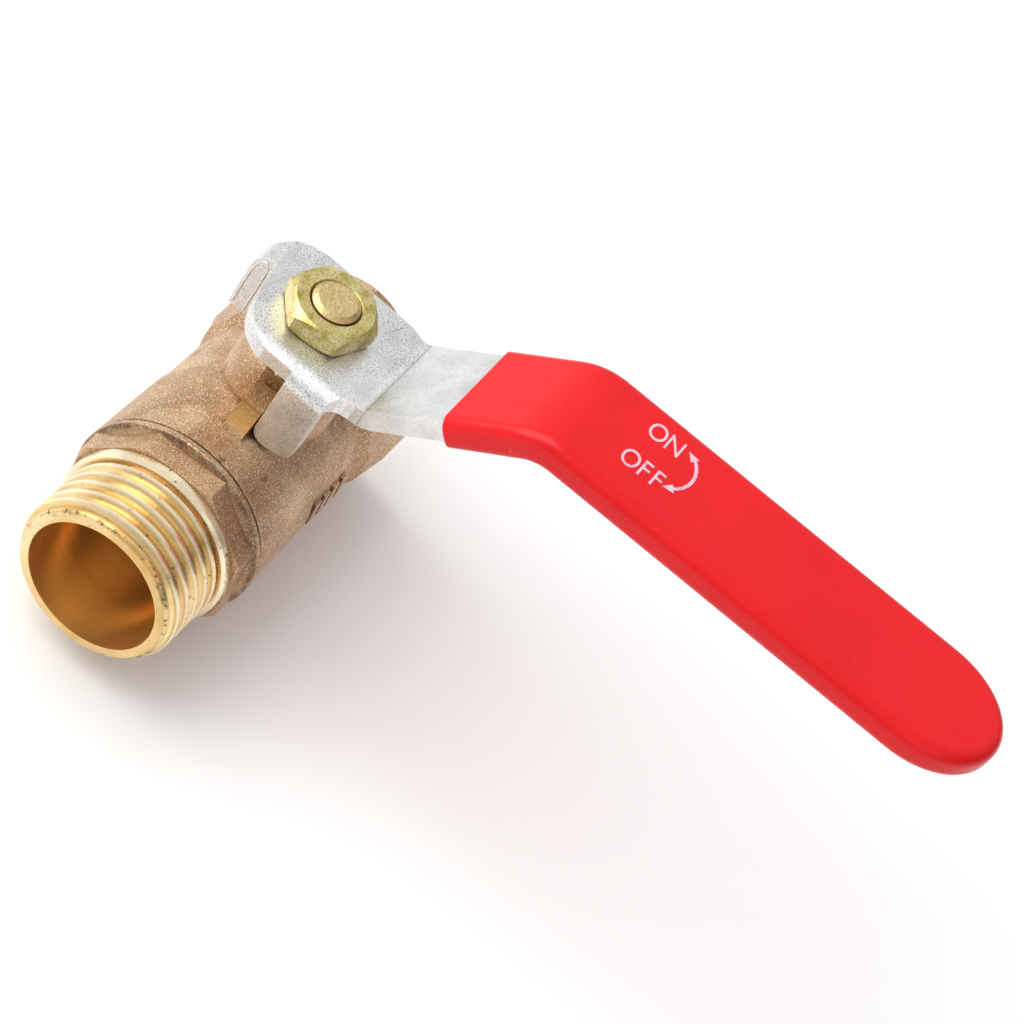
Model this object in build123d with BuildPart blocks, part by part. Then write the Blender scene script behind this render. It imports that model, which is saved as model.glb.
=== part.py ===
from build123d import *
import math
import os

os.makedirs("parts", exist_ok=True)

# The origin is the centre of the ball. X is the pipe run, with the male end at -X.
# Z is the stem's axis, and at rest (valve shut) the lever points to -Y.

# Pipe threads, G 1/2
PIPE_CREST = 10.4775
PIPE_ROOT = 9.3155
PIPE_PITCH = 1.8143
PIPE_FLAT = 0.15
MALE_ROOT_R = 9.6

# Flow path
MOUTH_X = -31.5
PORT_R = 8.45
FLOW_R = 6.25
PORT_END_X = -17.5
FLOW_START_X = -16.3

# End piece
MALE_CRESTS = 5
LAST_CREST_X = -22.5
FIRST_CREST_X = LAST_CREST_X - (MALE_CRESTS - 1) * PIPE_PITCH
MOUTH_R = 9.5
CUT_BACK_R = 9.9
COLLAR_X = -21.7
COLLAR_R = 11.15
WRENCH_X = -20.4
WRENCH_END_X = -16.9
WRENCH_FLATS = 22.5
WRENCH_TURN = 18.0
WRENCH_CORNER_R = 12.3
RING_R = 12.4
SEAM_X = -16.03
SEAM_EDGE = 0.22
SPIGOT_R = 10.9
SPIGOT_END_X = -8.2
GROOVE_X = (-15.2, -13.8)
GROOVE_R = 10.1

# Body
BODY_FRONT_R = 12.36
BARREL_OUTLINE = [(-11.0, 12.2), (-4.1, 11.95), (-3.6, 11.65), (4.0, 11.6), (4.8, 11.2)]
WAIST_R = 11.2
WAIST_END_X = 6.5
FLARE_END = (8.5, 12.35)
FLARE_OUTLINE = [(10.4, 12.7), (12.6, 13.3)]
REAR_CORNER_R = 13.3
REAR_FACE_R = 12.4
BODY_BORE_R = 10.95
CAVITY_R = 10.2
CAVITY_X = 8.2
SOCKET_X = 9.5
SOCKET_CREST_X = 12.0
SOCKET_CRESTS = 5
BODY_END_X = 20.5
OCTAGON_FLATS = 24.2
OCTAGON_START_X = 5.0
NECK_R = 7.0
NECK_TOP = 19.0
FIN_Y = (-1.5, 1.2)
FIN_OUTLINE = [(-12.2, 11.0), (-11.6, 12.0), (-9.4, 15.6), (-6.4, 17.4), (-5.0, 17.4), (-5.0, 11.0)]
MARK_TURN = 86.0
MARK_X = 0.6
MARK_STEP = 2.0
MARK_COUNT = 4
MARK_SIZE = (1.2, 3.6)
MARK_FOOT = 10.9
MARK_TOP = 11.95

# Ball and seats
BALL_R = 9.5
SLOT_WIDTH = 3.2
SLOT_FLOOR = 6.8
SEAT_INNER_X = 5.2
SEAT_OUTER_R = 10.0
SEAT_BORE_R = 6.4
SEAT_GAP = 0.1

# Stem and its packing
TANG_THICK = 3.0
TANG_BOTTOM = 6.9
SHOULDER_BOTTOM = 9.7
SHOULDER_TOP = 10.8
SHOULDER_R = 4.5
POCKET_R = 4.75
POCKET_TOP = 11.4
SHAFT_R = 4.0
SHAFT_FIT = 0.04
PACKING_BOTTOM = 13.0
PACKING_MIDDLE = 15.0
PACKING_TOP = 17.0
PACKING_R = 5.6
GLAND_HEX_BOTTOM = 19.1
GLAND_HEX_TOP = 21.1
GLAND_FLATS = 12.0
GLAND_CORNER_R = 7.0
GLAND_FACE_R = 6.0
GLAND_FIT = 0.02
PLATE_BOTTOM = 21.7
PLATE_TOP = 24.2
FLATS_HALF = 2.8
STEM_TOP = 27.75
STEM_THREAD_R = 2.95
STEM_ROOT_R = 2.38
STEM_PITCH = 1.0
STEM_FLAT = 0.08
STEM_CREST_Z = 24.75
STEM_CRESTS = 3
STEM_THREAD_BOTTOM = PLATE_TOP - 0.2

# Lever nut, M6 thin
NUT_FLATS = 10.0
NUT_TOP = 27.2
NUT_TURN = 39.0
NUT_FACE_R = 4.75
NUT_FIT = 0.03
NUT_EDGE = 0.3

# Lever, 2.5 mm sheet
SHEET = 2.5
FLATS_FIT = 0.03
ARM_FOOT_Y = -4.0
PLATE_EDGE_Y = -6.5
SLOPE_RUN = 6.0
ARM_HALF = 7.3
RUN_SLOPE = 0.0292
CREASE = (-10.66, 22.95)
UPPER_BEND = (-28.2, 37.95)
TIP_Y = -86.1
TIP_START_Y = -77.0
CREASE_R = 3.0
UPPER_BEND_R = 7.0
EAR_BEND_R = 2.4
TRIM_HEIGHT = 60.0
EAR_BOTTOM = 12.05
EAR_ONE_X = -9.8
EAR_ONE_Y = (-6.9, -1.7)
EAR_TWO_X = (1.4, 5.0)
EAR_TWO_Y = 10.8
EAR_TWO_BOTTOM = 13.8
PLATE_LEFT_X = -8.7
PLATE_RIGHT = [(7.3, -9.4), (7.9, -7.6), (7.9, 5.0), (7.4, 7.0), (6.4, 8.7), (5.0, 9.9)]
PLATE_BACK = [(EAR_TWO_X[0], 8.4), (-2.3, 7.7), (-6.6, 6.1), (PLATE_LEFT_X, 3.4)]
PLATE_WAIST = [(PLATE_LEFT_X, -7.1), (-7.9, -7.7), (-7.5, -8.5), (-7.3, -9.4)]

# Sleeve
COAT = 0.8
SLEEVE_START_Y = -19.3
SLEEVE_EDGE = 1.5


def octagon_radius(flats):
    return flats / 2 / math.cos(math.pi / 8)


def hexagon_radius(flats):
    return flats / 2 / math.cos(math.pi / 6)


def ridges(first, count, pitch, crest_r, root_r, flat):
    points = [(first - pitch / 2 - flat, root_r), (first - pitch / 2 + flat, root_r)]
    for row in range(count):
        crest = first + row * pitch
        points += [(crest - flat, crest_r), (crest + flat, crest_r)]
        if row < count - 1:
            points += [(crest + pitch / 2 - flat, root_r), (crest + pitch / 2 + flat, root_r)]
    return points


def slope_height(y):
    rise = (UPPER_BEND[1] - CREASE[1]) / (CREASE[0] - UPPER_BEND[0])
    return CREASE[1] + (CREASE[0] - y) * rise


def run_height(y):
    return UPPER_BEND[1] + (UPPER_BEND[0] - y) * RUN_SLOPE


# The three threads, each a row of ridges at the thread's own pitch
male_ridges = ridges(FIRST_CREST_X, MALE_CRESTS, PIPE_PITCH, PIPE_CREST, MALE_ROOT_R, PIPE_FLAT)
socket_ridges = ridges(SOCKET_CREST_X, SOCKET_CRESTS, PIPE_PITCH, PIPE_ROOT, PIPE_CREST, PIPE_FLAT)
stem_rows = ridges(STEM_CREST_Z, STEM_CRESTS, STEM_PITCH, STEM_THREAD_R, STEM_ROOT_R, STEM_FLAT)
stem_ridges = [(radius, height) for height, radius in stem_rows]

# The end piece: male thread, collar, octagonal wrench section, flange ring and spigot
with BuildPart() as end_piece:
    with BuildSketch(Plane.YZ.offset(WRENCH_X)):
        RegularPolygon(octagon_radius(WRENCH_FLATS), 8, rotation=WRENCH_TURN)
    extrude(amount=WRENCH_END_X - WRENCH_X)
    with BuildSketch(Plane.XZ):
        with BuildLine():
            Polyline(
                (WRENCH_X, 0),
                (WRENCH_X, 11.75),
                (WRENCH_X + 0.35, WRENCH_CORNER_R),
                (WRENCH_END_X, WRENCH_CORNER_R),
                (WRENCH_END_X, 0),
                close=True,
            )
        make_face()
    revolve(axis=Axis.X, mode=Mode.INTERSECT)
    with BuildSketch(Plane.XZ):
        with BuildLine():
            Polyline(
                (MOUTH_X, 0),
                (MOUTH_X, MOUTH_R),
                (MOUTH_X + 0.25, MOUTH_R + 0.25),
                (MOUTH_X + 0.45, CUT_BACK_R),
                *male_ridges,
                (COLLAR_X - 0.35, CUT_BACK_R),
                (COLLAR_X, CUT_BACK_R),
                (COLLAR_X, COLLAR_R - 0.4),
                (COLLAR_X + 0.3, COLLAR_R),
                (WRENCH_X, COLLAR_R),
                (WRENCH_END_X - 0.55, COLLAR_R),
                (WRENCH_END_X - 0.3, RING_R - 0.45),
                (WRENCH_END_X - 0.1, RING_R - 0.15),
                (WRENCH_END_X + 0.1, RING_R),
                (SEAM_X - SEAM_EDGE, RING_R),
                (SEAM_X, RING_R - SEAM_EDGE),
                (SEAM_X, SPIGOT_R),
                (GROOVE_X[0], SPIGOT_R),
                (GROOVE_X[0], GROOVE_R),
                (GROOVE_X[1], GROOVE_R),
                (GROOVE_X[1], SPIGOT_R),
                (SPIGOT_END_X - 0.4, SPIGOT_R),
                (SPIGOT_END_X, SPIGOT_R - 0.4),
                (SPIGOT_END_X, 0),
                close=True,
            )
        make_face()
    revolve(axis=Axis.X)
    with BuildSketch(Plane.XZ):
        with BuildLine():
            Polyline(
                (MOUTH_X, 0),
                (MOUTH_X, PORT_R),
                (PORT_END_X, PORT_R),
                (FLOW_START_X, FLOW_R),
                (SPIGOT_END_X, FLOW_R),
                (SPIGOT_END_X, 0),
                close=True,
            )
        make_face()
    revolve(axis=Axis.X, mode=Mode.SUBTRACT)
end_piece.part.label = "end_piece"
export_step(end_piece.part, "parts/end_piece.step")

# The body: barrel, neck, stop fin and octagonal female end
with BuildPart() as body:
    with BuildSketch(Plane.YZ.offset(OCTAGON_START_X)):
        RegularPolygon(octagon_radius(OCTAGON_FLATS), 8)
    extrude(amount=BODY_END_X - OCTAGON_START_X)
    with BuildSketch(Plane.XZ):
        with BuildLine():
            flare_start = Line((OCTAGON_START_X, 0), (OCTAGON_START_X, WAIST_R))
            neck_line = Line(flare_start @ 1, (WAIST_END_X, WAIST_R))
            flare = TangentArc(neck_line @ 1, FLARE_END, tangent=(1, 0))
            Polyline(
                flare @ 1,
                *FLARE_OUTLINE,
                (BODY_END_X - 0.8, REAR_CORNER_R),
                (BODY_END_X, REAR_FACE_R),
                (BODY_END_X, 0),
                flare_start @ 0,
            )
        make_face()
    revolve(axis=Axis.X, mode=Mode.INTERSECT)
    with BuildSketch(Plane.XZ):
        with BuildLine():
            Polyline(
                (SEAM_X, 0),
                (SEAM_X, BODY_FRONT_R - SEAM_EDGE),
                (SEAM_X + SEAM_EDGE, BODY_FRONT_R),
                *BARREL_OUTLINE,
                (OCTAGON_START_X + 0.5, WAIST_R),
                (OCTAGON_START_X + 0.5, 0),
                close=True,
            )
        make_face()
    revolve(axis=Axis.X)
    with BuildSketch(Plane.XY):
        Circle(NECK_R)
    extrude(amount=NECK_TOP)
    chamfer(body.edges().filter_by(GeomType.CIRCLE).group_by(Axis.Z)[-1], length=0.4)
    with BuildSketch(Plane.XZ.offset(-FIN_Y[1])):
        with BuildLine():
            Polyline(*FIN_OUTLINE, close=True)
        make_face()
    extrude(amount=FIN_Y[1] - FIN_Y[0])
    # Short raised casting marks on the lever's side of the barrel
    with BuildSketch(Plane.XY.rotated((MARK_TURN, 0, 0)).offset(MARK_FOOT)):
        with Locations((MARK_X, 0)):
            with GridLocations(MARK_STEP, 0, MARK_COUNT, 1):
                Rectangle(*MARK_SIZE)
    extrude(amount=MARK_TOP - MARK_FOOT)
    with BuildSketch(Plane.XZ):
        with BuildLine():
            Polyline(
                (SEAM_X - 1.0, 0),
                (SEAM_X - 1.0, BODY_BORE_R),
                (SPIGOT_END_X, BODY_BORE_R),
                (SPIGOT_END_X, CAVITY_R),
                (CAVITY_X, CAVITY_R),
                (CAVITY_X, FLOW_R),
                (SOCKET_X, FLOW_R),
                (SOCKET_X, PIPE_ROOT),
                (SOCKET_CREST_X - 1.5, PIPE_ROOT),
                *socket_ridges,
                (BODY_END_X, PIPE_ROOT + 1.3),
                (BODY_END_X, 0),
                close=True,
            )
        make_face()
    revolve(axis=Axis.X, mode=Mode.SUBTRACT)
    with BuildSketch(Plane.XY):
        Circle(POCKET_R)
    extrude(amount=POCKET_TOP, mode=Mode.SUBTRACT)
    with BuildSketch(Plane.XY):
        Circle(SHAFT_R + SHAFT_FIT)
    extrude(amount=NECK_TOP, mode=Mode.SUBTRACT)
    with BuildSketch(Plane.XY.offset(PACKING_BOTTOM)):
        Circle(PACKING_R)
    extrude(amount=NECK_TOP - PACKING_BOTTOM, mode=Mode.SUBTRACT)
body.part.label = "body"
export_step(body.part, "parts/body.step")

# The ball: a bore along Y while the valve is shut, and a slot along X for the stem's tang
with BuildPart() as ball:
    Sphere(BALL_R)
    with BuildSketch(Plane.XZ.offset(-BALL_R)):
        Circle(FLOW_R)
    extrude(amount=2 * BALL_R, mode=Mode.SUBTRACT)
    with BuildSketch(Plane.XY.offset(SLOT_FLOOR)):
        Rectangle(2 * BALL_R, SLOT_WIDTH)
    extrude(amount=BALL_R, mode=Mode.SUBTRACT)
ball.part.label = "ball"
export_step(ball.part, "parts/ball.step")

# The two seat rings, mirror images of each other
seat_face_r = BALL_R + SEAT_GAP
seat_angle_inner = math.degrees(math.asin(SEAT_BORE_R / seat_face_r))
seat_angle_outer = math.degrees(math.acos(SEAT_INNER_X / seat_face_r))
seat_arc = seat_angle_outer - seat_angle_inner
with BuildPart() as seat_ring_front:
    with BuildSketch(Plane.XZ):
        with BuildLine():
            front_face = CenterArc((0, 0), seat_face_r, 180 - seat_angle_outer, seat_arc)
            Polyline(
                front_face @ 1,
                (-CAVITY_X, SEAT_BORE_R),
                (-CAVITY_X, SEAT_OUTER_R),
                (-SEAT_INNER_X, SEAT_OUTER_R),
                front_face @ 0,
            )
        make_face()
    revolve(axis=Axis.X)
seat_ring_front.part.label = "seat_ring_front"
export_step(seat_ring_front.part, "parts/seat_ring_front.step")

with BuildPart() as seat_ring_rear:
    with BuildSketch(Plane.XZ):
        with BuildLine():
            rear_face = CenterArc((0, 0), seat_face_r, seat_angle_inner, seat_arc)
            Polyline(
                rear_face @ 1,
                (SEAT_INNER_X, SEAT_OUTER_R),
                (CAVITY_X, SEAT_OUTER_R),
                (CAVITY_X, SEAT_BORE_R),
                rear_face @ 0,
            )
        make_face()
    revolve(axis=Axis.X)
seat_ring_rear.part.label = "seat_ring_rear"
export_step(seat_ring_rear.part, "parts/seat_ring_rear.step")

# The ring that seals the spigot in the body
with BuildPart() as body_joint_seal:
    with BuildSketch(Plane.YZ.offset(GROOVE_X[0])):
        Circle(SPIGOT_R)
        Circle(GROOVE_R, mode=Mode.SUBTRACT)
    extrude(amount=GROOVE_X[1] - GROOVE_X[0])
    chamfer(body_joint_seal.edges(), length=0.2)
body_joint_seal.part.label = "body_joint_seal"
export_step(body_joint_seal.part, "parts/body_joint_seal.step")

# The stem: tang, shoulder, shaft, double-D for the lever and threaded end
with BuildPart() as stem:
    with BuildSketch(Plane.XY.offset(SHOULDER_TOP)):
        Circle(SHAFT_R)
    extrude(amount=STEM_THREAD_BOTTOM - SHOULDER_TOP)
    with BuildSketch(Plane.XY.offset(PLATE_BOTTOM)):
        Rectangle(4 * SHAFT_R, 4 * SHAFT_R)
        Rectangle(2 * FLATS_HALF, 4 * SHAFT_R, mode=Mode.SUBTRACT)
    extrude(amount=SHEET, mode=Mode.SUBTRACT)
    with BuildSketch(Plane.XY.offset(SHOULDER_BOTTOM)):
        Circle(SHOULDER_R)
    extrude(amount=SHOULDER_TOP - SHOULDER_BOTTOM)
    with BuildSketch(Plane.XY.offset(TANG_BOTTOM)):
        Rectangle(2 * SHAFT_R, TANG_THICK)
    extrude(amount=SHOULDER_BOTTOM - TANG_BOTTOM)
    with BuildSketch(Plane.XZ):
        with BuildLine():
            Polyline(
                (0, STEM_THREAD_BOTTOM),
                (STEM_ROOT_R, STEM_THREAD_BOTTOM),
                *stem_ridges,
                (STEM_THREAD_R, STEM_TOP - 0.5),
                (STEM_ROOT_R, STEM_TOP),
                (0, STEM_TOP),
                close=True,
            )
        make_face()
    revolve(axis=Axis.Z)
stem.part.label = "stem"
export_step(stem.part, "parts/stem.step")

# The washer between the stem's shoulder and the body
with BuildPart() as thrust_washer:
    with BuildSketch(Plane.XY.offset(SHOULDER_TOP + 0.05)):
        Circle(SHOULDER_R + 0.1)
        Circle(SHAFT_R + SHAFT_FIT, mode=Mode.SUBTRACT)
    extrude(amount=POCKET_TOP - SHOULDER_TOP - 0.1)
thrust_washer.part.label = "thrust_washer"
export_step(thrust_washer.part, "parts/thrust_washer.step")

# The two packing rings around the shaft
with BuildPart() as packing_ring_lower:
    with BuildSketch(Plane.XY.offset(PACKING_BOTTOM)):
        Circle(PACKING_R)
        Circle(SHAFT_R + SHAFT_FIT, mode=Mode.SUBTRACT)
    extrude(amount=PACKING_MIDDLE - PACKING_BOTTOM)
packing_ring_lower.part.label = "packing_ring_lower"
export_step(packing_ring_lower.part, "parts/packing_ring_lower.step")

with BuildPart() as packing_ring_upper:
    with BuildSketch(Plane.XY.offset(PACKING_MIDDLE)):
        Circle(PACKING_R)
        Circle(SHAFT_R + SHAFT_FIT, mode=Mode.SUBTRACT)
    extrude(amount=PACKING_TOP - PACKING_MIDDLE)
packing_ring_upper.part.label = "packing_ring_upper"
export_step(packing_ring_upper.part, "parts/packing_ring_upper.step")

# The gland nut that presses on the packing
with BuildPart() as gland_nut:
    with BuildSketch(Plane.XY.offset(GLAND_HEX_BOTTOM)):
        RegularPolygon(hexagon_radius(GLAND_FLATS), 6)
    extrude(amount=GLAND_HEX_TOP - GLAND_HEX_BOTTOM)
    with BuildSketch(Plane.XZ):
        with BuildLine():
            Polyline(
                (0, GLAND_HEX_BOTTOM),
                (GLAND_CORNER_R, GLAND_HEX_BOTTOM),
                (GLAND_CORNER_R, GLAND_HEX_TOP - 0.5),
                (GLAND_FACE_R, GLAND_HEX_TOP),
                (0, GLAND_HEX_TOP),
                close=True,
            )
        make_face()
    revolve(axis=Axis.Z, mode=Mode.INTERSECT)
    with BuildSketch(Plane.XY.offset(PACKING_TOP)):
        Circle(PACKING_R - GLAND_FIT)
    extrude(amount=GLAND_HEX_BOTTOM - PACKING_TOP)
    with BuildSketch(Plane.XY.offset(PACKING_TOP)):
        Circle(SHAFT_R + SHAFT_FIT)
    extrude(amount=GLAND_HEX_TOP - PACKING_TOP, mode=Mode.SUBTRACT)
gland_nut.part.label = "gland_nut"
export_step(gland_nut.part, "parts/gland_nut.step")

# The lever: head plate, two stop ears and the cranked arm
with BuildPart() as lever:
    with BuildSketch(Plane.YZ):
        with BuildLine():
            FilletPolyline(
                (PLATE_EDGE_Y, CREASE[1]),
                CREASE,
                (CREASE[0] - SLOPE_RUN, slope_height(CREASE[0] - SLOPE_RUN)),
                radius=CREASE_R,
            )
            FilletPolyline(
                (CREASE[0] - SLOPE_RUN, slope_height(CREASE[0] - SLOPE_RUN)),
                UPPER_BEND,
                (TIP_Y, run_height(TIP_Y)),
                radius=UPPER_BEND_R,
            )
        trace(line_width=SHEET)
    extrude(amount=ARM_HALF, both=True)
    with BuildSketch(Plane.XY):
        with Locations((0, TIP_START_Y)):
            Ellipse(ARM_HALF, TIP_START_Y - TIP_Y)
        with Locations((0, (TIP_START_Y + ARM_FOOT_Y) / 2)):
            Rectangle(2 * ARM_HALF, ARM_FOOT_Y - TIP_START_Y)
    extrude(amount=TRIM_HEIGHT, mode=Mode.INTERSECT)
    with BuildSketch(Plane.XY.offset(PLATE_BOTTOM)):
        with BuildLine():
            Polyline(
                *PLATE_RIGHT,
                (EAR_TWO_X[1], EAR_TWO_Y),
                (EAR_TWO_X[0], EAR_TWO_Y),
                PLATE_BACK[0],
            )
            Spline(*PLATE_BACK)
            Polyline(
                PLATE_BACK[-1],
                (PLATE_LEFT_X - 0.3, PLATE_BACK[-1][1] - 1.0),
                (PLATE_LEFT_X - 0.3, EAR_ONE_Y[1]),
                (EAR_ONE_X, EAR_ONE_Y[1]),
                (EAR_ONE_X, EAR_ONE_Y[0] + 0.3),
                (EAR_ONE_X + 0.3, EAR_ONE_Y[0]),
                *PLATE_WAIST,
                PLATE_RIGHT[0],
            )
        make_face()
    extrude(amount=SHEET)
    with BuildSketch(Plane.YZ.offset(EAR_ONE_X)):
        with BuildLine():
            Polyline(
                (EAR_ONE_Y[1], PLATE_TOP),
                (EAR_ONE_Y[1], EAR_BOTTOM + 1.5),
                (EAR_ONE_Y[1] - 0.2, EAR_BOTTOM + 0.8),
                (EAR_ONE_Y[1] - 0.6, EAR_BOTTOM + 0.3),
                (EAR_ONE_Y[1] - 1.3, EAR_BOTTOM),
                (EAR_ONE_Y[1] - 2.2, EAR_BOTTOM),
                (EAR_ONE_Y[0] + 0.9, EAR_BOTTOM + 0.6),
                (EAR_ONE_Y[0] + 0.25, EAR_BOTTOM + 1.0),
                (EAR_ONE_Y[0], EAR_BOTTOM + 1.7),
                (EAR_ONE_Y[0], PLATE_TOP),
                close=True,
            )
        make_face()
    extrude(amount=SHEET)
    with BuildSketch(Plane.XZ.offset(-EAR_TWO_Y)):
        with BuildLine():
            Polyline(
                (EAR_TWO_X[0], PLATE_TOP),
                (EAR_TWO_X[0], EAR_TWO_BOTTOM + 0.8),
                (EAR_TWO_X[0] + 0.8, EAR_TWO_BOTTOM),
                (EAR_TWO_X[1] - 1.2, EAR_TWO_BOTTOM),
                (EAR_TWO_X[1], EAR_TWO_BOTTOM + 1.2),
                (EAR_TWO_X[1], PLATE_TOP),
                close=True,
            )
        make_face()
    extrude(amount=SHEET)
    ear_one_top = lever.edges().filter_by(Axis.Y).group_by(Axis.X)[0].sort_by(Axis.Z)[-1]
    fillet(ear_one_top, radius=EAR_BEND_R)
    ear_two_top = lever.edges().filter_by(Axis.X).group_by(Axis.Y)[-1].sort_by(Axis.Z)[-1]
    fillet(ear_two_top, radius=EAR_BEND_R)
    with BuildSketch(Plane.XY.offset(PLATE_BOTTOM)):
        Circle(SHAFT_R + SHAFT_FIT)
        Rectangle(2 * (FLATS_HALF + FLATS_FIT), 4 * SHAFT_R, mode=Mode.INTERSECT)
    extrude(amount=SHEET, mode=Mode.SUBTRACT)
lever.part.label = "lever"
export_step(lever.part, "parts/lever.step")

# The dipped sleeve, a coat of even thickness around the arm
with BuildPart() as lever_sleeve:
    with BuildSketch(Plane.YZ):
        with BuildLine():
            FilletPolyline(
                (SLEEVE_START_Y, slope_height(SLEEVE_START_Y)),
                UPPER_BEND,
                (TIP_Y - 2 * COAT, run_height(TIP_Y - 2 * COAT)),
                radius=UPPER_BEND_R,
            )
        trace(line_width=SHEET + 2 * COAT)
    extrude(amount=ARM_HALF + COAT, both=True)
    with BuildSketch(Plane.XY):
        with Locations((0, TIP_START_Y)):
            Ellipse(ARM_HALF + COAT, TIP_START_Y - TIP_Y + COAT)
        with Locations((0, (TIP_START_Y + ARM_FOOT_Y) / 2)):
            Rectangle(2 * (ARM_HALF + COAT), ARM_FOOT_Y - TIP_START_Y)
    extrude(amount=TRIM_HEIGHT, mode=Mode.INTERSECT)
    sleeve_sides = lever_sleeve.edges().filter_by(
        lambda edge: abs((edge @ 0.5).X) > ARM_HALF or (edge @ 0.5).Y < TIP_START_Y
    )
    sleeve_rims = sleeve_sides.filter_by(lambda edge: abs(edge.length - SHEET - 2 * COAT) > 0.01)
    fillet(sleeve_rims, radius=SLEEVE_EDGE)
    add(lever.part, mode=Mode.SUBTRACT)
lever_sleeve.part.label = "lever_sleeve"
export_step(lever_sleeve.part, "parts/lever_sleeve.step")

# The thin lock nut on the stem
with BuildPart() as lever_nut:
    with BuildSketch(Plane.XY.offset(PLATE_TOP)):
        RegularPolygon(hexagon_radius(NUT_FLATS), 6, rotation=NUT_TURN)
    extrude(amount=NUT_TOP - PLATE_TOP)
    nut_corner_drop = (hexagon_radius(NUT_FLATS) - NUT_FACE_R) * math.tan(math.radians(30))
    with BuildSketch(Plane.XZ):
        with BuildLine():
            Polyline(
                (0, PLATE_TOP),
                (NUT_FACE_R, PLATE_TOP),
                (hexagon_radius(NUT_FLATS), PLATE_TOP + nut_corner_drop),
                (hexagon_radius(NUT_FLATS), NUT_TOP - nut_corner_drop),
                (NUT_FACE_R, NUT_TOP),
                (0, NUT_TOP),
                close=True,
            )
        make_face()
    revolve(axis=Axis.Z, mode=Mode.INTERSECT)
    with BuildSketch(Plane.XZ):
        with BuildLine():
            Polyline(
                (0, PLATE_TOP),
                (STEM_THREAD_R + NUT_FIT, PLATE_TOP),
                (STEM_THREAD_R + NUT_FIT, NUT_TOP - NUT_EDGE),
                (STEM_THREAD_R + NUT_FIT + NUT_EDGE, NUT_TOP),
                (0, NUT_TOP),
                close=True,
            )
        make_face()
    revolve(axis=Axis.Z, mode=Mode.SUBTRACT)
lever_nut.part.label = "lever_nut"
export_step(lever_nut.part, "parts/lever_nut.step")
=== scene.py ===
import bpy
import bmesh
import math
from mathutils import Matrix, Vector


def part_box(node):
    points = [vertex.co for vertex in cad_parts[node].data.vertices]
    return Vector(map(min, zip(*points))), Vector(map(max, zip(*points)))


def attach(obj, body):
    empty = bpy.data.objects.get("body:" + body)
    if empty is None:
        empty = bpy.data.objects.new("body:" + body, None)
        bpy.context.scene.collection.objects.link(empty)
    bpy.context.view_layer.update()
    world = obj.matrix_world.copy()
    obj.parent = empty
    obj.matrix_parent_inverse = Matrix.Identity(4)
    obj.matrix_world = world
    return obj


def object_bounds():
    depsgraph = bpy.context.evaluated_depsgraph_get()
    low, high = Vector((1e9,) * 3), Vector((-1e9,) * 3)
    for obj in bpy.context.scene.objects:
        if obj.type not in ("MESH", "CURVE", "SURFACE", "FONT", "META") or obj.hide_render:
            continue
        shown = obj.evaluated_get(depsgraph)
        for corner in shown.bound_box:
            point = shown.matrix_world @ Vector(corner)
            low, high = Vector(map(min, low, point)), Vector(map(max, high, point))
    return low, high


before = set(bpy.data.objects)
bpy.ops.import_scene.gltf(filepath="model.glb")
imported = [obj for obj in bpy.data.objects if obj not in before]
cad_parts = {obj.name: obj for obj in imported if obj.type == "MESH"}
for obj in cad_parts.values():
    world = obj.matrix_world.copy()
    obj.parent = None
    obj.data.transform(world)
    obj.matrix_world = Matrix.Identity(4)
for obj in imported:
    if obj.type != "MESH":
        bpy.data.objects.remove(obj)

CAD_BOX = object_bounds()
MM = 0.001

# Corners of the CAD nodes that the looks and the small pieces are placed from
END_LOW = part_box("end_piece")[0]
BODY_LOW, BODY_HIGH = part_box("body")
LEVER_LOW, LEVER_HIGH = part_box("lever")
SLEEVE_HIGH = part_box("lever_sleeve")[1]
PLATE_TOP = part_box("lever_nut")[0].z

# Where the looks change on the brass, in metres
SEAM_X = BODY_LOW.x
MOUTH_X = END_LOW.x
RIM_X = MOUTH_X + 0.0003
RIM_R = 0.0092
WRENCH_X = MOUTH_X + 0.01105
COLLAR_R = 0.01105
PORT_R = 0.00855
RING_X = SEAM_X - 0.00102
THREAD_R = 0.0105
FIN_BACK_X = SEAM_X + 0.00983
FIN_MIDDLE_Y = -0.00015
FIN_HALF = 0.0016
FIN_HEIGHTS = 0.02
BARREL_TOP = 0.0121
BARREL_STEP_X = SEAM_X + 0.01223
SOCKET_X = BODY_HIGH.x - 0.0122
SOCKET_R = 0.0108
REAR_FACE_X = BODY_HIGH.x - 0.00005

# The fold between the lever's head and its arm
CREASE_Y = LEVER_HIGH.y - 0.0214

# Tints as (place on the ramp, colour)
CAST_TINTS = [(0.32, (0.38, 0.2, 0.095)), (0.5, (0.55, 0.335, 0.175)), (0.7, (0.72, 0.5, 0.3))]
TURNED_TINTS = [(0.3, (0.6, 0.38, 0.14)), (0.5, (0.86, 0.63, 0.3)), (0.7, (0.98, 0.83, 0.52))]
FIN_TINTS = [(0.64, (0.72, 0.4, 0.13)), (0.74, (0.5, 0.25, 0.06)), (0.8, (0.2, 0.09, 0.03))]
BORE_TINTS = [
    (0.24, (0.5, 0.24, 0.05)),
    (0.34, (0.88, 0.53, 0.18)),
    (0.66, (0.97, 0.63, 0.24)),
    (0.7, (1.0, 0.85, 0.5)),
]
ZINC_TINTS = [(0.3, (0.42, 0.31, 0.07)), (0.5, (0.68, 0.57, 0.22)), (0.75, (0.86, 0.78, 0.46))]
STEM_TINTS = [(0.3, (0.56, 0.4, 0.16)), (0.55, (0.72, 0.56, 0.27)), (0.8, (0.88, 0.76, 0.46))]
FLOOR_TINTS = [(0.3, (0.93, 0.93, 0.93)), (0.7, (0.96, 0.96, 0.96))]


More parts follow.
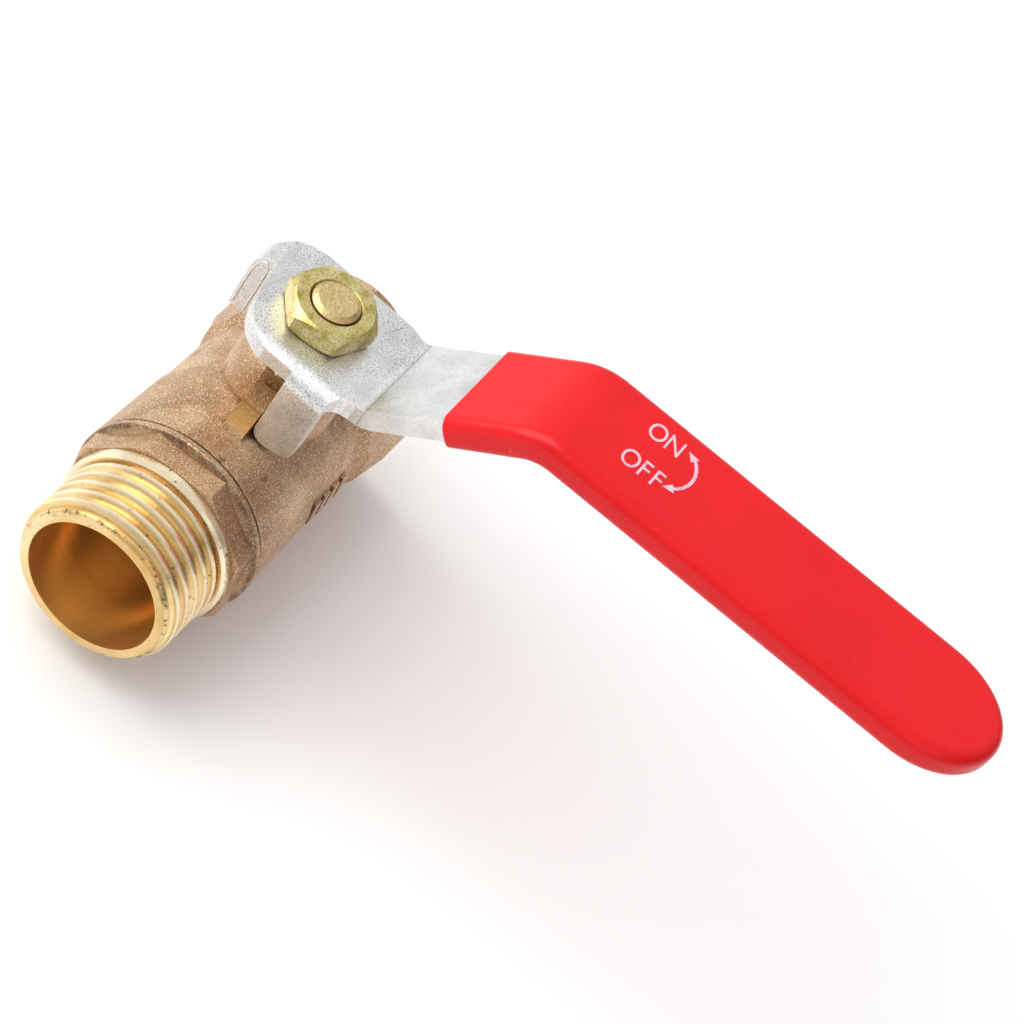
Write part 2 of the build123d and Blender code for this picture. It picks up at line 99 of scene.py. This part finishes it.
# ---------------------------------------------------------------- materials
class Maker:
    """Builds one procedural node material."""

    def __init__(self, name):
        self.mat = bpy.data.materials.new(name)
        self.mat.use_nodes = True
        self.tree = self.mat.node_tree
        self.tree.nodes.clear()
        self.out = self.tree.nodes.new("ShaderNodeOutputMaterial")
        self.shader = self.tree.nodes.new("ShaderNodeBsdfPrincipled")
        self.link(self.shader.outputs["BSDF"], self.out.inputs["Surface"])
        self.coords = self.tree.nodes.new("ShaderNodeTexCoord").outputs["Object"]

    def link(self, a, b):
        self.tree.links.new(a, b)

    def put(self, **values):
        for key, value in values.items():
            self.shader.inputs[key.replace("_", " ")].default_value = value

    def noise(self, scale, detail, rough, coords=None):
        node = self.tree.nodes.new("ShaderNodeTexNoise")
        node.inputs["Scale"].default_value = scale
        node.inputs["Detail"].default_value = detail
        node.inputs["Roughness"].default_value = rough
        self.link(coords or self.coords, node.inputs["Vector"])
        return node.outputs["Fac"]

    def ramp(self, fac, stops):
        node = self.tree.nodes.new("ShaderNodeValToRGB")
        els = node.color_ramp.elements
        while len(els) > len(stops):
            els.remove(els[-1])
        while len(els) < len(stops):
            els.new(1.0)
        for el, (pos, col) in zip(els, stops):
            el.position = pos
            el.color = (*col, 1.0) if not isinstance(col, float) else (col, col, col, 1.0)
        self.link(fac, node.inputs["Fac"])
        return node.outputs["Color"]

    def mix(self, fac, a, b):
        node = self.tree.nodes.new("ShaderNodeMix")
        node.data_type = "RGBA"
        for socket, value in ((node.inputs[0], fac), (node.inputs[6], a), (node.inputs[7], b)):
            if isinstance(value, (int, float)):
                socket.default_value = value
            elif isinstance(value, tuple):
                socket.default_value = (*value, 1.0)
            else:
                self.link(value, socket)
        return node.outputs[2]

    def math(self, op, a, b=0.0, clamp=False):
        node = self.tree.nodes.new("ShaderNodeMath")
        node.operation = op
        node.use_clamp = clamp
        for socket, value in zip(node.inputs, (a, b)):
            if isinstance(value, (int, float)):
                socket.default_value = value
            else:
                self.link(value, socket)
        return node.outputs[0]

    def split(self, coords=None):
        node = self.tree.nodes.new("ShaderNodeSeparateXYZ")
        self.link(coords or self.coords, node.inputs[0])
        return node.outputs

    def scaled(self, x, y, z):
        node = self.tree.nodes.new("ShaderNodeMapping")
        node.inputs["Scale"].default_value = (x, y, z)
        self.link(self.coords, node.inputs["Vector"])
        return node.outputs["Vector"]

    def bump(self, height, strength, distance):
        node = self.tree.nodes.new("ShaderNodeBump")
        node.inputs["Strength"].default_value = strength
        node.inputs["Distance"].default_value = distance
        self.link(height, node.inputs["Height"])
        old = self.shader.inputs["Normal"].links
        if old:
            self.link(old[0].from_socket, node.inputs["Normal"])
        self.link(node.outputs["Normal"], self.shader.inputs["Normal"])

    def edges(self, radius):
        """A mask of edges, from a bevelled normal against the true one, used for edge wear and painted
        edge highlights.
        """
        bevel = self.tree.nodes.new("ShaderNodeBevel")
        bevel.inputs["Radius"].default_value = radius
        bevel.samples = 6
        geometry = self.tree.nodes.new("ShaderNodeNewGeometry")
        dot = self.tree.nodes.new("ShaderNodeVectorMath")
        dot.operation = "DOT_PRODUCT"
        self.link(bevel.outputs["Normal"], dot.inputs[0])
        self.link(geometry.outputs["Normal"], dot.inputs[1])
        return self.math("SUBTRACT", 1.0, dot.outputs["Value"], clamp=True)

    def hollows(self, distance):
        """Darkness in the recesses."""
        node = self.tree.nodes.new("ShaderNodeAmbientOcclusion")
        node.samples = 8
        node.inputs["Distance"].default_value = distance
        return node.outputs["AO"]

    def radius(self, y, z):
        """Distance from the pipe run's axis, in metres."""
        squares = self.math("ADD", self.math("MULTIPLY", y, y), self.math("MULTIPLY", z, z))
        return self.math("SQRT", squares, 0.0)

    def surface(self, tint, rough):
        self.link(tint, self.shader.inputs["Base Color"])
        self.link(rough, self.shader.inputs["Roughness"])


def cast_look(m):
    """Blasted, lightly oxidised casting: returns colour, roughness."""
    broad = m.noise(170, 5, 0.65)
    tint = m.ramp(broad, CAST_TINTS)
    grain = m.noise(5200, 2, 0.6)
    tint = m.mix(m.ramp(grain, [(0.38, 0.6), (0.52, 0.0)]), tint, (0.28, 0.13, 0.05))
    # Painted glints: scattered bright flecks in the colour stand in for sparkle highlights
    painted_glints = m.ramp(m.noise(6400, 1, 0.5), [(0.57, 0.0), (0.66, 1.0)])
    tint = m.mix(m.math("MULTIPLY", painted_glints, 0.75), tint, (1.0, 0.9, 0.72))
    spots = m.ramp(m.noise(420, 2, 0.5), [(0.7, 0.0), (0.76, 0.6)])
    tint = m.mix(spots, tint, (0.13, 0.06, 0.03))
    # Lighter edges: real edge wear together with a painted edge highlight
    edge_wear_and_highlight = m.ramp(m.edges(0.0004), [(0.04, 0.0), (0.25, 0.45)])
    tint = m.mix(edge_wear_and_highlight, tint, (0.95, 0.74, 0.5))
    shade = m.ramp(m.hollows(0.0012), [(0.3, 1.0), (0.8, 0.0)])
    tint = m.mix(m.math("MULTIPLY", shade, 0.85), tint, (0.09, 0.035, 0.012))
    rough = m.ramp(m.noise(2600, 3, 0.6), [(0.3, 0.3), (0.7, 0.52)])
    return tint, rough


def band(m, value, centre, half):
    """1 at centre, falling to 0 at centre +- half (metres)."""
    offset = m.math("ABSOLUTE", m.math("SUBTRACT", value, centre), 0.0)
    return m.ramp(m.math("DIVIDE", offset, half), [(0.35, 1.0), (1.0, 0.0)])


def grime(m, tint, mask, strength=0.9):
    """Patchy black-brown dirt where the mask is 1."""
    patches = m.ramp(m.noise(520, 3, 0.7), [(0.36, 0.35), (0.56, 1.0)])
    amount = m.math("MULTIPLY", m.math("MULTIPLY", mask, patches), strength)
    return m.mix(amount, tint, (0.035, 0.018, 0.01))


def turned_look(m, lines, radius=None):
    """Bright turned metal with fine tool rings around X, with painted highlights on the thread crests when
    a radius is given.
    """
    tint = m.ramp(m.noise(2600, 2, 0.6, lines), TURNED_TINTS)
    tint = m.mix(m.ramp(m.noise(210, 4, 0.6), [(0.3, 0.45), (0.55, 0.0)]), tint, (0.6, 0.32, 0.08))
    if radius is not None:
        # Painted highlight: bright lines on the thread crests, lighter than the rest of the turned metal
        painted_crest_highlight = m.ramp(m.math("DIVIDE", radius, THREAD_R), [(0.975, 0.0), (0.99, 0.7)])
        tint = m.mix(painted_crest_highlight, tint, (1.0, 0.9, 0.68))
    dirt = m.ramp(m.noise(820, 4, 0.7), [(0.64, 0.0), (0.68, 0.85)])
    tint = m.mix(dirt, tint, (0.12, 0.06, 0.02))
    shade = m.ramp(m.hollows(0.0008), [(0.2, 1.0), (0.75, 0.0)])
    tint = m.mix(m.math("MULTIPLY", shade, 0.55), tint, (0.4, 0.17, 0.03))
    rough = m.ramp(m.noise(900, 3, 0.6), [(0.3, 0.18), (0.7, 0.34)])
    return tint, rough


def cast_brass():
    m = Maker("cast_brass_blasted")
    x, y, z = m.split()
    tint, rough = cast_look(m)
    height = m.math("DIVIDE", z, FIN_HEIGHTS)
    front = m.math("LESS_THAN", x, FIN_BACK_X)
    high = m.ramp(height, [(0.615, 0.0), (0.64, 1.0)])
    thin = m.math("LESS_THAN", m.math("ABSOLUTE", m.math("SUBTRACT", y, FIN_MIDDLE_Y)), FIN_HALF)
    fin = m.math("MULTIPLY", m.math("MULTIPLY", front, high), thin)
    fin_tint = m.ramp(height, FIN_TINTS)
    fin_tint = m.mix(m.ramp(m.noise(3200, 4, 0.7), [(0.52, 0.0), (0.66, 0.4)]), fin_tint, (0.85, 0.6, 0.3))
    tint = m.mix(m.math("MULTIPLY", fin, 0.9), tint, fin_tint)
    tint = grime(m, tint, band(m, x, SEAM_X, 0.00022), 0.95)
    barrel = m.math("LESS_THAN", z, BARREL_TOP)
    tint = grime(m, tint, m.math("MULTIPLY", band(m, x, BARREL_STEP_X, 0.0004), barrel), 0.3)
    inside = m.math("LESS_THAN", m.radius(y, z), SOCKET_R)
    socket = m.math("MULTIPLY", inside, m.math("GREATER_THAN", x, SOCKET_X))
    machined = m.math("MAXIMUM", socket, m.math("GREATER_THAN", x, REAR_FACE_X))
    turned_tint, turned_rough = turned_look(m, m.scaled(1, 0.02, 0.02))
    m.surface(m.mix(machined, tint, turned_tint), m.mix(machined, rough, turned_rough))
    m.put(Metallic=0.8)
    m.bump(m.noise(4600, 3, 0.65), 0.6, 0.0001)
    m.bump(m.noise(700, 3, 0.5), 0.3, 0.00016)
    return m.mat


def end_brass():
    """Turned thread, collar and port, cast wrench section and ring."""
    m = Maker("end_brass")
    lines = m.scaled(1, 0.02, 0.02)
    x, y, z = m.split()
    radius = m.radius(y, z)
    behind = m.math("GREATER_THAN", x, WRENCH_X)
    outside = m.math("GREATER_THAN", radius, COLLAR_R)
    cast_mask = m.math("MULTIPLY", behind, outside)
    inside = m.math("LESS_THAN", radius, PORT_R)
    cast_tint, cast_rough = cast_look(m)
    cast_tint = grime(m, cast_tint, band(m, x, SEAM_X - 0.00002, 0.0002), 0.95)
    cast_tint = grime(m, cast_tint, band(m, x, RING_X, 0.0003), 0.7)
    turned_tint, turned_rough = turned_look(m, lines, radius)
    rings = m.ramp(m.noise(900, 4, 0.7, m.scaled(1, 0.004, 0.004)), BORE_TINTS)
    turned_tint = m.mix(m.math("MULTIPLY", inside, 0.95), turned_tint, rings)
    nicks = m.ramp(m.noise(1100, 4, 0.75), [(0.54, 0.0), (0.6, 1.0)])
    rim = m.math("MULTIPLY", band(m, x, RIM_X, 0.00035), m.math("GREATER_THAN", radius, RIM_R))
    nicked = m.math("MULTIPLY", m.math("MULTIPLY", rim, nicks), 0.8)
    turned_tint = m.mix(nicked, turned_tint, (0.1, 0.05, 0.02))
    turned_rough = m.mix(inside, turned_rough, (0.28, 0.28, 0.28))
    m.surface(m.mix(cast_mask, turned_tint, cast_tint), m.mix(cast_mask, turned_rough, cast_rough))
    m.put(Metallic=0.88)
    cast_grain = m.math("MULTIPLY", m.noise(4600, 3, 0.65), cast_mask)
    m.bump(cast_grain, 0.6, 0.0001)
    m.bump(m.noise(3200, 2, 0.5, m.scaled(1, 0.01, 0.01)), 0.25, 0.00004)
    return m.mat


def gland_brass():
    m = Maker("gland_brass")
    tint, rough = turned_look(m, m.scaled(0.1, 0.1, 1))
    m.surface(tint, rough)
    m.put(Metallic=0.9)
    m.bump(m.noise(2600, 3, 0.6), 0.25, 0.00006)
    return m.mat


def plated_sheet():
    m = Maker("plated_sheet")
    y = m.split()[1]
    tint = m.ramp(m.noise(240, 4, 0.6), [(0.3, (0.7, 0.7, 0.7)), (0.6, (0.88, 0.88, 0.87))])
    speckle = m.ramp(m.noise(5200, 3, 0.75), [(0.38, 0.8), (0.5, 0.0)])
    patches = m.ramp(m.noise(130, 3, 0.6), [(0.35, 0.3), (0.6, 1.0)])
    head = m.ramp(m.math("GREATER_THAN", y, CREASE_Y), [(0.0, 0.25), (1.0, 1.0)])
    amount = m.math("MULTIPLY", m.math("MULTIPLY", speckle, patches), head)
    tint = m.mix(amount, tint, (0.2, 0.2, 0.19))
    # Painted shade: a thin dark line along the fold, as shade in the crease
    painted_crease_shade = m.math("MULTIPLY", band(m, y, CREASE_Y, 0.00014), 0.4)
    tint = m.mix(painted_crease_shade, tint, (0.12, 0.12, 0.12))
    # Painted highlight: the plate's edges lightened as bright edge reflections
    edge_wear_and_highlight = m.ramp(m.edges(0.0005), [(0.05, 0.0), (0.3, 0.85)])
    tint = m.mix(edge_wear_and_highlight, tint, (0.93, 0.93, 0.92))
    m.surface(tint, m.ramp(m.noise(1600, 3, 0.6), [(0.3, 0.22), (0.7, 0.4)]))
    m.put(Metallic=0.9)
    m.bump(m.noise(3600, 4, 0.7), 0.5, 0.00009)
    m.bump(m.noise(300, 3, 0.5), 0.2, 0.0002)
    return m.mat


def yellow_zinc():
    m = Maker("yellow_zinc")
    tint = m.ramp(m.noise(520, 4, 0.6), ZINC_TINTS)
    tint = m.mix(m.ramp(m.noise(3600, 3, 0.7), [(0.36, 0.6), (0.5, 0.0)]), tint, (0.2, 0.15, 0.04))
    shade = m.ramp(m.hollows(0.0008), [(0.3, 1.0), (0.8, 0.0)])
    tint = m.mix(m.math("MULTIPLY", shade, 0.6), tint, (0.25, 0.16, 0.03))
    m.surface(tint, m.ramp(m.noise(900, 3, 0.6), [(0.3, 0.18), (0.7, 0.36)]))
    m.put(Metallic=0.92)
    m.bump(m.noise(2400, 3, 0.6), 0.3, 0.00008)
    return m.mat


def stem_brass():
    m = Maker("stem_brass")
    tint = m.ramp(m.noise(2600, 3, 0.6), STEM_TINTS)
    shade = m.ramp(m.hollows(0.0008), [(0.3, 1.0), (0.8, 0.0)])
    tint = m.mix(m.math("MULTIPLY", shade, 0.7), tint, (0.2, 0.11, 0.02))
    m.surface(tint, m.ramp(m.noise(1500, 3, 0.6), [(0.3, 0.28), (0.7, 0.5)]))
    m.put(Metallic=0.9)
    m.bump(m.noise(1900, 4, 0.7), 0.5, 0.0001)
    return m.mat


def red_dip():
    m = Maker("red_dip")
    tint = m.ramp(m.noise(70, 4, 0.6), [(0.3, (0.68, 0.004, 0.007)), (0.7, (0.76, 0.006, 0.01))])
    specks = m.ramp(m.noise(900, 2, 0.5), [(0.76, 0.0), (0.79, 0.35)])
    tint = m.mix(specks, tint, (0.9, 0.18, 0.16))
    m.surface(tint, m.ramp(m.noise(500, 3, 0.6), [(0.3, 0.22), (0.7, 0.34)]))
    m.put(Coat_Weight=0.15)
    m.put(Coat_Roughness=0.1)
    m.put(Specular_IOR_Level=0.2)
    m.bump(m.noise(260, 3, 0.5), 0.2, 0.00012)
    m.bump(m.noise(1500, 2, 0.5), 0.06, 0.00004)
    return m.mat


def print_ink():
    m = Maker("print_ink")
    tint = m.ramp(m.noise(1400, 4, 0.7), [(0.3, (0.6, 0.28, 0.38)), (0.5, (0.8, 0.5, 0.62))])
    m.surface(tint, m.ramp(m.noise(900, 2, 0.5), [(0.3, 0.4), (0.7, 0.55)]))
    m.bump(m.noise(3000, 2, 0.5), 0.2, 0.00002)
    return m.mat


def ptfe():
    m = Maker("white_ptfe_rings")
    tint = m.ramp(m.noise(500, 3, 0.5), [(0.3, (0.78, 0.78, 0.75)), (0.7, (0.9, 0.9, 0.88))])
    m.surface(tint, m.ramp(m.noise(900, 2, 0.5), [(0.3, 0.4), (0.7, 0.55)]))
    m.bump(m.noise(3000, 2, 0.5), 0.1, 0.00003)
    return m.mat


def rubber():
    m = Maker("seal_rubber")
    tint = m.ramp(m.noise(600, 3, 0.5), [(0.3, (0.015, 0.015, 0.016)), (0.7, (0.035, 0.035, 0.036))])
    m.surface(tint, m.ramp(m.noise(900, 2, 0.5), [(0.3, 0.55), (0.7, 0.75)]))
    m.bump(m.noise(2600, 3, 0.5), 0.2, 0.00004)
    return m.mat


def chrome():
    m = Maker("ball_chrome")
    tint = m.ramp(m.noise(300, 3, 0.5), [(0.3, (0.66, 0.67, 0.69)), (0.7, (0.8, 0.8, 0.82))])
    m.surface(tint, m.ramp(m.noise(1200, 3, 0.6), [(0.3, 0.06), (0.7, 0.16)]))
    m.put(Metallic=1.0)
    m.bump(m.noise(2500, 2, 0.5), 0.05, 0.00002)
    return m.mat


CAST = cast_brass()
END_BRASS = end_brass()
GLAND = gland_brass()
INK = print_ink()
SHEET_METAL = plated_sheet()
NUT_ZINC = yellow_zinc()
STEM = stem_brass()
RED = red_dip()
PTFE = ptfe()
RUBBER = rubber()
CHROME = chrome()


def dress(node, mat):
    mesh = bpy.data.objects[node].data
    mesh.materials.clear()
    mesh.materials.append(mat)


for node_name, node_mat in (
    ("body", CAST),
    ("end_piece", END_BRASS),
    ("ball", CHROME),
    ("seat_ring_front", PTFE),
    ("seat_ring_rear", PTFE),
    ("body_joint_seal", RUBBER),
    ("stem", STEM),
    ("thrust_washer", PTFE),
    ("packing_ring_lower", PTFE),
    ("packing_ring_upper", PTFE),
    ("gland_nut", GLAND),
    ("lever", SHEET_METAL),
    ("lever_sleeve", RED),
    ("lever_nut", NUT_ZINC),
):
    dress(node_name, node_mat)


# ---------------------------------------------------------------- print on the sleeve
# The print's own directions on the sleeve's flat top
PRINT_Y = LEVER_LOW.y + 0.0466
PRINT_DROP = 0.0013397
PRINT_Z = SLEEVE_HIGH.z - PRINT_DROP
TOP_SLOPE = 0.0292
UP = Vector((0, TOP_SLOPE, 1)).normalized()
ALONG = Vector((0, -1, TOP_SLOPE)).normalized()
ACROSS = Vector((1, 0, 0))
INK_LIFT = 0.00002
INK_THICK = 0.00003
LETTER_HALF = 0.000015
CAP_HEIGHT = 2.7
CAP_SHARE = 0.7
LETTER_WIDTH = 0.78
ON_ROW = 4.0
OFF_ROW = -1.8
LETTERS = (
    ("print_on_o", "O", ON_ROW, -2.7),
    ("print_on_n", "N", ON_ROW, -0.4),
    ("print_off_o", "O", OFF_ROW, -3.1),
    ("print_off_f_a", "F", OFF_ROW, -1.2),
    ("print_off_f_b", "F", OFF_ROW, 0.5),
)

# The arrow, in mm across and along
ARROW_CENTRE = (1.25, 0.45)
ARROW_R = 3.1
ARROW_HALF = 0.15
ARROW_SWELL = 0.35
ARROW_STRETCH = 1.15
ARROW_START = math.radians(52)
ARROW_STOP = math.radians(-48)
ARROW_STEPS = 28
HEAD_TURN = 0.42
HEAD_HALF = 0.6
HEAD_INSET = 0.15


def on_sleeve(across, along, lift=INK_LIFT):
    """A point on the sleeve's top: mm across and mm along from PRINT_Y."""
    base = Vector((0, PRINT_Y, PRINT_Z))
    return base + ACROSS * across * MM + ALONG * along * MM + UP * lift


def ink_plate(name, outlines):
    """Thin raised ink from flat outlines, each a list of (across, along) in mm."""
    bm = bmesh.new()
    for outline in outlines:
        verts = [bm.verts.new(on_sleeve(a, b)) for a, b in outline]
        face = bm.faces.new(verts)
        face.normal_update()
        if face.normal.dot(UP) < 0:
            face.normal_flip()
        for v in bmesh.ops.extrude_face_region(bm, geom=[face])["geom"]:
            if isinstance(v, bmesh.types.BMVert):
                v.co += UP * INK_THICK
    mesh = bpy.data.meshes.new(name)
    bm.to_mesh(mesh)
    bm.free()
    mesh.materials.append(INK)
    obj = bpy.data.objects.new(name, mesh)
    bpy.context.scene.collection.objects.link(obj)
    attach(obj, "handle")


def letter(name, text, across, along):
    """A plain capital, its middle at (across, along), read away from the pivot."""
    curve = bpy.data.curves.new(name, "FONT")
    curve.body = text
    curve.size = CAP_HEIGHT / CAP_SHARE * MM
    curve.align_x = "CENTER"
    curve.extrude = LETTER_HALF
    obj = bpy.data.objects.new(name, curve)
    foot = on_sleeve(across - CAP_HEIGHT / 2, along, INK_THICK)
    axes = Matrix((ALONG * LETTER_WIDTH, ACROSS, UP)).transposed().to_4x4()
    obj.matrix_world = Matrix.Translation(foot) @ axes
    obj.data.materials.append(INK)
    bpy.context.scene.collection.objects.link(obj)
    bpy.context.view_layer.update()
    mesh = bpy.data.meshes.new_from_object(obj.evaluated_get(bpy.context.evaluated_depsgraph_get()))
    mesh.transform(obj.matrix_world)
    mesh.name = name
    solid = bpy.data.objects.new(name + "_ink", mesh)
    bpy.data.objects.remove(obj)
    bpy.context.scene.collection.objects.link(solid)
    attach(solid, "handle")


def on_arc(angle, reach):
    across = ARROW_CENTRE[0] + reach * math.sin(angle) * ARROW_STRETCH
    return across, ARROW_CENTRE[1] + reach * math.cos(angle)


def arrow_head(angle, way):
    """A triangle at the end of the arc, on towards its own side."""
    foot = on_arc(angle, ARROW_R)
    tip_angle = angle + way * HEAD_TURN
    tip = (on_arc(tip_angle, ARROW_R)[0], on_arc(tip_angle, ARROW_R - HEAD_INSET)[1])
    run = Vector((tip[0] - foot[0], tip[1] - foot[1])).normalized()
    side = Vector((-run.y, run.x)) * HEAD_HALF
    return [(foot[0] + side.x, foot[1] + side.y), tip, (foot[0] - side.x, foot[1] - side.y)]


def arc_arrow():
    """The curved two-headed arrow that shows the lever's turn."""
    inner, outer = [], []
    for i in range(ARROW_STEPS + 1):
        angle = ARROW_START + (ARROW_STOP - ARROW_START) * i / ARROW_STEPS
        swell = ARROW_HALF * (1.0 + ARROW_SWELL * math.cos(angle))
        outer.append(on_arc(angle, ARROW_R + swell))
        inner.append(on_arc(angle, ARROW_R - swell))
    bands = [[outer[i], outer[i + 1], inner[i + 1], inner[i]] for i in range(ARROW_STEPS)]
    heads = [arrow_head(ARROW_START, 1), arrow_head(ARROW_STOP, -1)]
    ink_plate("turn_arrow", bands + heads)


for letter_name, capital, row, place in LETTERS:
    letter(letter_name, capital, row, place)
arc_arrow()


# ---------------------------------------------------------------- burr on the second ear
# Points in mm: down from the lever's far edge along Y, and down from the plate's top
BURR_R = 0.00013
BURR_X = LEVER_HIGH.x - 0.00653
BURR_PATH = (
    (2.05, 9.2),
    (2.1, 5.2),
    (2.05, 1.6),
    (1.5, 0.7),
    (0.8, 1.2),
    (0.4, 2.7),
    (0.35, 5.7),
    (0.4, 9.0),
)


def burr_line(name, path):
    """A fine rounded ridge left by the stamping, along the path."""
    curve = bpy.data.curves.new(name, "CURVE")
    curve.dimensions = "3D"
    curve.bevel_depth = BURR_R
    curve.bevel_resolution = 2
    spline = curve.splines.new("NURBS")
    spline.points.add(len(path) - 1)
    for point, (inward, down) in zip(spline.points, path):
        point.co = (BURR_X, LEVER_HIGH.y - inward * MM, PLATE_TOP - down * MM, 1.0)
    spline.use_endpoint_u = True
    spline.order_u = 3
    spline.resolution_u = 10
    holder = bpy.data.objects.new(name + "_path", curve)
    bpy.context.scene.collection.objects.link(holder)
    bpy.context.view_layer.update()
    mesh = bpy.data.meshes.new_from_object(holder.evaluated_get(bpy.context.evaluated_depsgraph_get()))
    mesh.materials.clear()
    mesh.materials.append(SHEET_METAL)
    for face in mesh.polygons:
        face.use_smooth = True
    bpy.data.objects.remove(holder)
    obj = bpy.data.objects.new(name, mesh)
    bpy.context.scene.collection.objects.link(obj)
    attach(obj, "handle")


burr_line("ear_burr", BURR_PATH)


# ---------------------------------------------------------------- floor, light, camera
FLOOR_Z = CAD_BOX[0][2] - 0.0002
FLOOR_HALF = 4

# Lights: place, size and watts
LIGHT_AIM = (0.0, -0.02, 0.01)
KEY = ((-0.1, 0.45, 0.55), 0.75, 4.3)
FILL = ((-0.55, -0.45, 0.35), 0.5, 0.5)

# The surroundings are darker low down and on the lever's side
WORLD_STRENGTH = 0.82
DARK_TONE = 0.22
BRIGHT_FROM = 0.7
UP_SHARE = 0.7
SIDE_SHARE = 0.45
LEVEL_VALUE = 0.25

# The camera's direction in degrees, its aim and its distance in metres
AZIMUTH = -176.80763
ELEVATION = 46.09801
ROLL = 38.21568
CAMERA_AIM = Vector((0.01063742, -0.02918128, 0.00886866))
CAMERA_DISTANCE = 0.42
LENS = 126.56
SENSOR = 36.0


def studio():
    m = Maker("studio_floor")
    m.link(m.ramp(m.noise(3, 2, 0.5), FLOOR_TINTS), m.shader.inputs["Base Color"])
    m.put(Roughness=0.9, Specular_IOR_Level=0.1)
    bm = bmesh.new()
    for x, y in ((-1, -1), (1, -1), (1, 1), (-1, 1)):
        bm.verts.new((x * FLOOR_HALF, y * FLOOR_HALF, FLOOR_Z))
    bm.faces.new(bm.verts)
    mesh = bpy.data.meshes.new("floor")
    bm.to_mesh(mesh)
    bm.free()
    mesh.materials.append(m.mat)
    floor = bpy.data.objects.new("floor", mesh)
    bpy.context.scene.collection.objects.link(floor)


def area_light(name, place, size, power):
    data = bpy.data.lights.new(name, "AREA")
    data.shape = "RECTANGLE"
    data.size = size
    data.size_y = size
    data.energy = power
    obj = bpy.data.objects.new(name, data)
    obj.location = place
    obj.rotation_euler = (Vector(LIGHT_AIM) - Vector(place)).to_track_quat("-Z", "Y").to_euler()
    bpy.context.scene.collection.objects.link(obj)


def multiply_add(tree, value, factor, start):
    node = tree.nodes.new("ShaderNodeMath")
    node.operation = "MULTIPLY_ADD"
    node.inputs[1].default_value = factor
    tree.links.new(value, node.inputs[0])
    if isinstance(start, float):
        node.inputs[2].default_value = start
    else:
        tree.links.new(start, node.inputs[2])
    return node.outputs[0]


def studio_world():
    world = bpy.data.worlds.new("studio_world")
    world.use_nodes = True
    tree = world.node_tree
    coords = tree.nodes.new("ShaderNodeTexCoord")
    split = tree.nodes.new("ShaderNodeSeparateXYZ")
    ramp = tree.nodes.new("ShaderNodeValToRGB")
    dark, bright = ramp.color_ramp.elements
    dark.position = 0.0
    dark.color = (DARK_TONE, DARK_TONE, DARK_TONE, 1.0)
    bright.position = BRIGHT_FROM
    bright.color = (1.0, 1.0, 1.0, 1.0)
    tree.links.new(coords.outputs["Generated"], split.inputs[0])
    height = multiply_add(tree, split.outputs["Z"], UP_SHARE, LEVEL_VALUE)
    side = multiply_add(tree, split.outputs["Y"], SIDE_SHARE, height)
    tree.links.new(side, ramp.inputs["Fac"])
    tree.links.new(ramp.outputs["Color"], tree.nodes["Background"].inputs["Color"])
    tree.nodes["Background"].inputs["Strength"].default_value = WORLD_STRENGTH
    bpy.context.scene.world = world


def place_camera():
    data = bpy.data.cameras.new("camera")
    data.sensor_width = SENSOR
    data.lens = LENS
    data.clip_start = 0.01
    data.clip_end = 20.0
    camera = bpy.data.objects.new("camera", data)
    tilt = Matrix.Rotation(math.radians(90 - ELEVATION), 4, "X")
    swing = Matrix.Rotation(math.radians(90 + AZIMUTH), 4, "Z")
    roll = Matrix.Rotation(math.radians(ROLL), 4, "Z")
    turn = swing @ tilt @ roll
    back = turn.to_3x3() @ Vector((0, 0, 1))
    camera.matrix_world = Matrix.Translation(CAMERA_AIM + back * CAMERA_DISTANCE) @ turn
    bpy.context.scene.collection.objects.link(camera)
    bpy.context.scene.camera = camera


studio()
area_light("key", *KEY)
area_light("fill", *FILL)
studio_world()
bpy.context.scene.view_settings.view_transform = "Standard"
place_camera()
